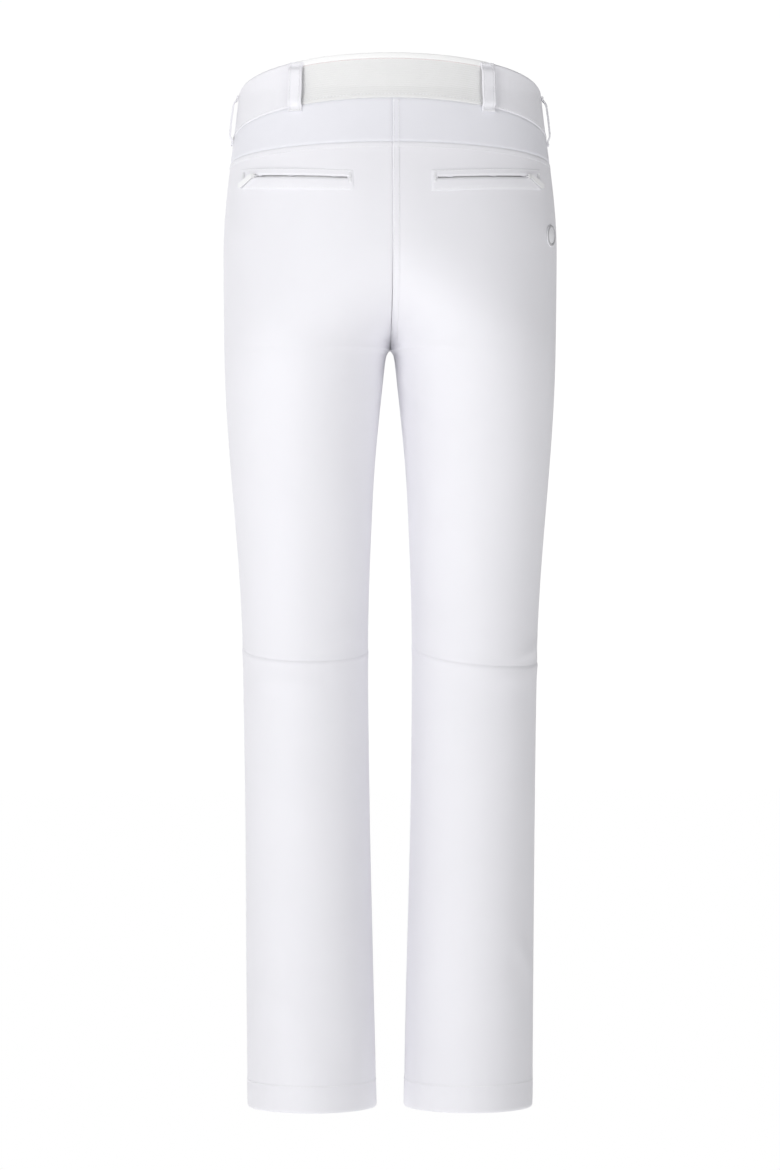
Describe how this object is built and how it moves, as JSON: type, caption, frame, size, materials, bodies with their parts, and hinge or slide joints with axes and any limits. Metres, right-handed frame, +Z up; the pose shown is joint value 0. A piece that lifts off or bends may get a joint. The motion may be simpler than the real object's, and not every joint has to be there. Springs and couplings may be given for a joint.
{
  "type": "ski pants",
  "caption": "Straight-leg ski trousers with an elastic back waistband, belt loops, zipped pockets, a zip fly with a press-stud tab, and inner snow gaiters.",
  "frame": {"origin": "centre of the waist opening, on the waistband's top edge at the side seams", "axes": "+Z up, the trousers face -Y, the wearer's left is +X"},
  "size_m": [0.342, 0.2284, 1.07],
  "materials": {
    "shell": "smooth white stretch softshell, finely woven",
    "stretch": "ribbed off-white elastic",
    "lining": "thin plain lining",
    "zip_coil": "white nylon coil zip on woven tape",
    "metal": "satin nickel",
    "badge": "plain moulded white badge"
  },
  "bodies": {
    "upper": {"left_waistband": "shell", "right_waistband": "shell", "fly_underlap": "shell", "back_elastic": "stretch", "waist_facing": "lining", "care_label": "lining", "fly_zip": "zip_coil", "upper_snap_socket": "metal", "lower_snap_socket": "metal", "hip_badge": "badge", "left_front_panel": "shell", "left_back_panel": "shell", "left_yoke": "shell", "left_back_welt": "shell", "left_knee_fold": "shell", "left_back_loop": "shell", "left_side_loop": "shell", "left_front_loop": "shell", "left_hand_bag": "lining", "left_back_bag": "lining", "left_hanger": "lining", "left_hand_zip": "zip_coil", "left_back_zip": "zip_coil", "right_front_panel": "shell", "right_back_panel": "shell", "right_yoke": "shell", "right_back_welt": "shell", "right_knee_fold": "shell", "right_back_loop": "shell", "right_side_loop": "shell", "right_front_loop": "shell", "right_hand_bag": "lining", "right_back_bag": "lining", "right_hanger": "lining", "right_hand_zip": "zip_coil", "right_back_zip": "zip_coil"},
    "waist_tab": {"waist_tab": "shell", "upper_snap_cap": "metal", "lower_snap_cap": "metal"},
    "fly_slider": {"fly_slider": "metal"},
    "fly_puller": {"fly_puller": "metal"},
    "left_lower_leg": {"left_front_shin": "shell", "left_back_shin": "shell", "left_hem_facing": "shell", "left_gaiter": "lining", "left_gaiter_elastic": "stretch"},
    "left_hand_slider": {"left_hand_slider": "metal"},
    "left_hand_puller": {"left_hand_puller": "metal"},
    "left_back_slider": {"left_back_slider": "metal"},
    "left_back_puller": {"left_back_puller": "metal"},
    "right_lower_leg": {"right_front_shin": "shell", "right_back_shin": "shell", "right_hem_facing": "shell", "right_gaiter": "lining", "right_gaiter_elastic": "stretch"},
    "right_hand_slider": {"right_hand_slider": "metal"},
    "right_hand_puller": {"right_hand_puller": "metal"},
    "right_back_slider": {"right_back_slider": "metal"},
    "right_back_puller": {"right_back_puller": "metal"}
  },
  "joints": [
    {"name": "waist_tab_hinge", "type": "hinge", "parent": "upper", "child": "waist_tab", "pos_m": [-0.03968, -0.09709, -0.05668], "axis": [-0.0317, -0.0392, -0.9987], "range_deg": [0, 100]},
    {"name": "fly_slider_slide", "type": "slide", "parent": "upper", "child": "fly_slider", "axis": [0, 0.0035, -1], "range_m": [0, 0.078]},
    {"name": "fly_puller_hinge", "type": "hinge", "parent": "fly_slider", "child": "fly_puller", "pos_m": [0, -0.10552, -0.0937], "axis": [-1, 0, 0], "range_deg": [0, 165]},
    {"name": "left_knee", "type": "hinge", "parent": "upper", "child": "left_lower_leg", "pos_m": [0.08675, 0, -0.576], "axis": [1, 0, 0], "range_deg": [0, 90], "deforming": ["left_knee_fold"]},
    {"name": "left_hand_slider_slide", "type": "slide", "parent": "upper", "child": "left_hand_slider", "axis": [0.1131, -0.0101, -0.9935], "range_m": [0, 0.123]},
    {"name": "left_hand_puller_hinge", "type": "hinge", "parent": "left_hand_slider", "child": "left_hand_puller", "pos_m": [0.12523, -0.07251, -0.09859], "axis": [-0.8061, -0.5856, -0.0858], "range_deg": [0, 165]},
    {"name": "left_back_slider_hinge", "type": "hinge", "parent": "upper", "child": "left_back_slider", "pos_m": [0.01716, -0.05782, -0.09453], "axis": [-0.0526, 0, 0.9986], "range_deg": [0, 32]},
    {"name": "left_back_puller_hinge", "type": "hinge", "parent": "left_back_slider", "child": "left_back_puller", "pos_m": [0.13978, 0.06523, -0.08807], "axis": [-0.0526, 0, 0.9986], "range_deg": [0, 150]},
    {"name": "right_knee", "type": "hinge", "parent": "upper", "child": "right_lower_leg", "pos_m": [-0.08675, 0, -0.576], "axis": [1, 0, 0], "range_deg": [0, 90], "deforming": ["right_knee_fold"]},
    {"name": "right_hand_slider_slide", "type": "slide", "parent": "upper", "child": "right_hand_slider", "axis": [-0.1131, -0.0101, -0.9935], "range_m": [0, 0.123]},
    {"name": "right_hand_puller_hinge", "type": "hinge", "parent": "right_hand_slider", "child": "right_hand_puller", "pos_m": [-0.12523, -0.07251, -0.09859], "axis": [-0.8061, 0.5856, 0.0858], "range_deg": [0, 165]},
    {"name": "right_back_slider_hinge", "type": "hinge", "parent": "upper", "child": "right_back_slider", "pos_m": [-0.01716, -0.05782, -0.09453], "axis": [-0.0526, 0, -0.9986], "range_deg": [0, 32]},
    {"name": "right_back_puller_hinge", "type": "hinge", "parent": "right_back_slider", "child": "right_back_puller", "pos_m": [-0.13978, 0.06523, -0.08807], "axis": [-0.0526, 0, -0.9986], "range_deg": [0, 150]}
  ]
}
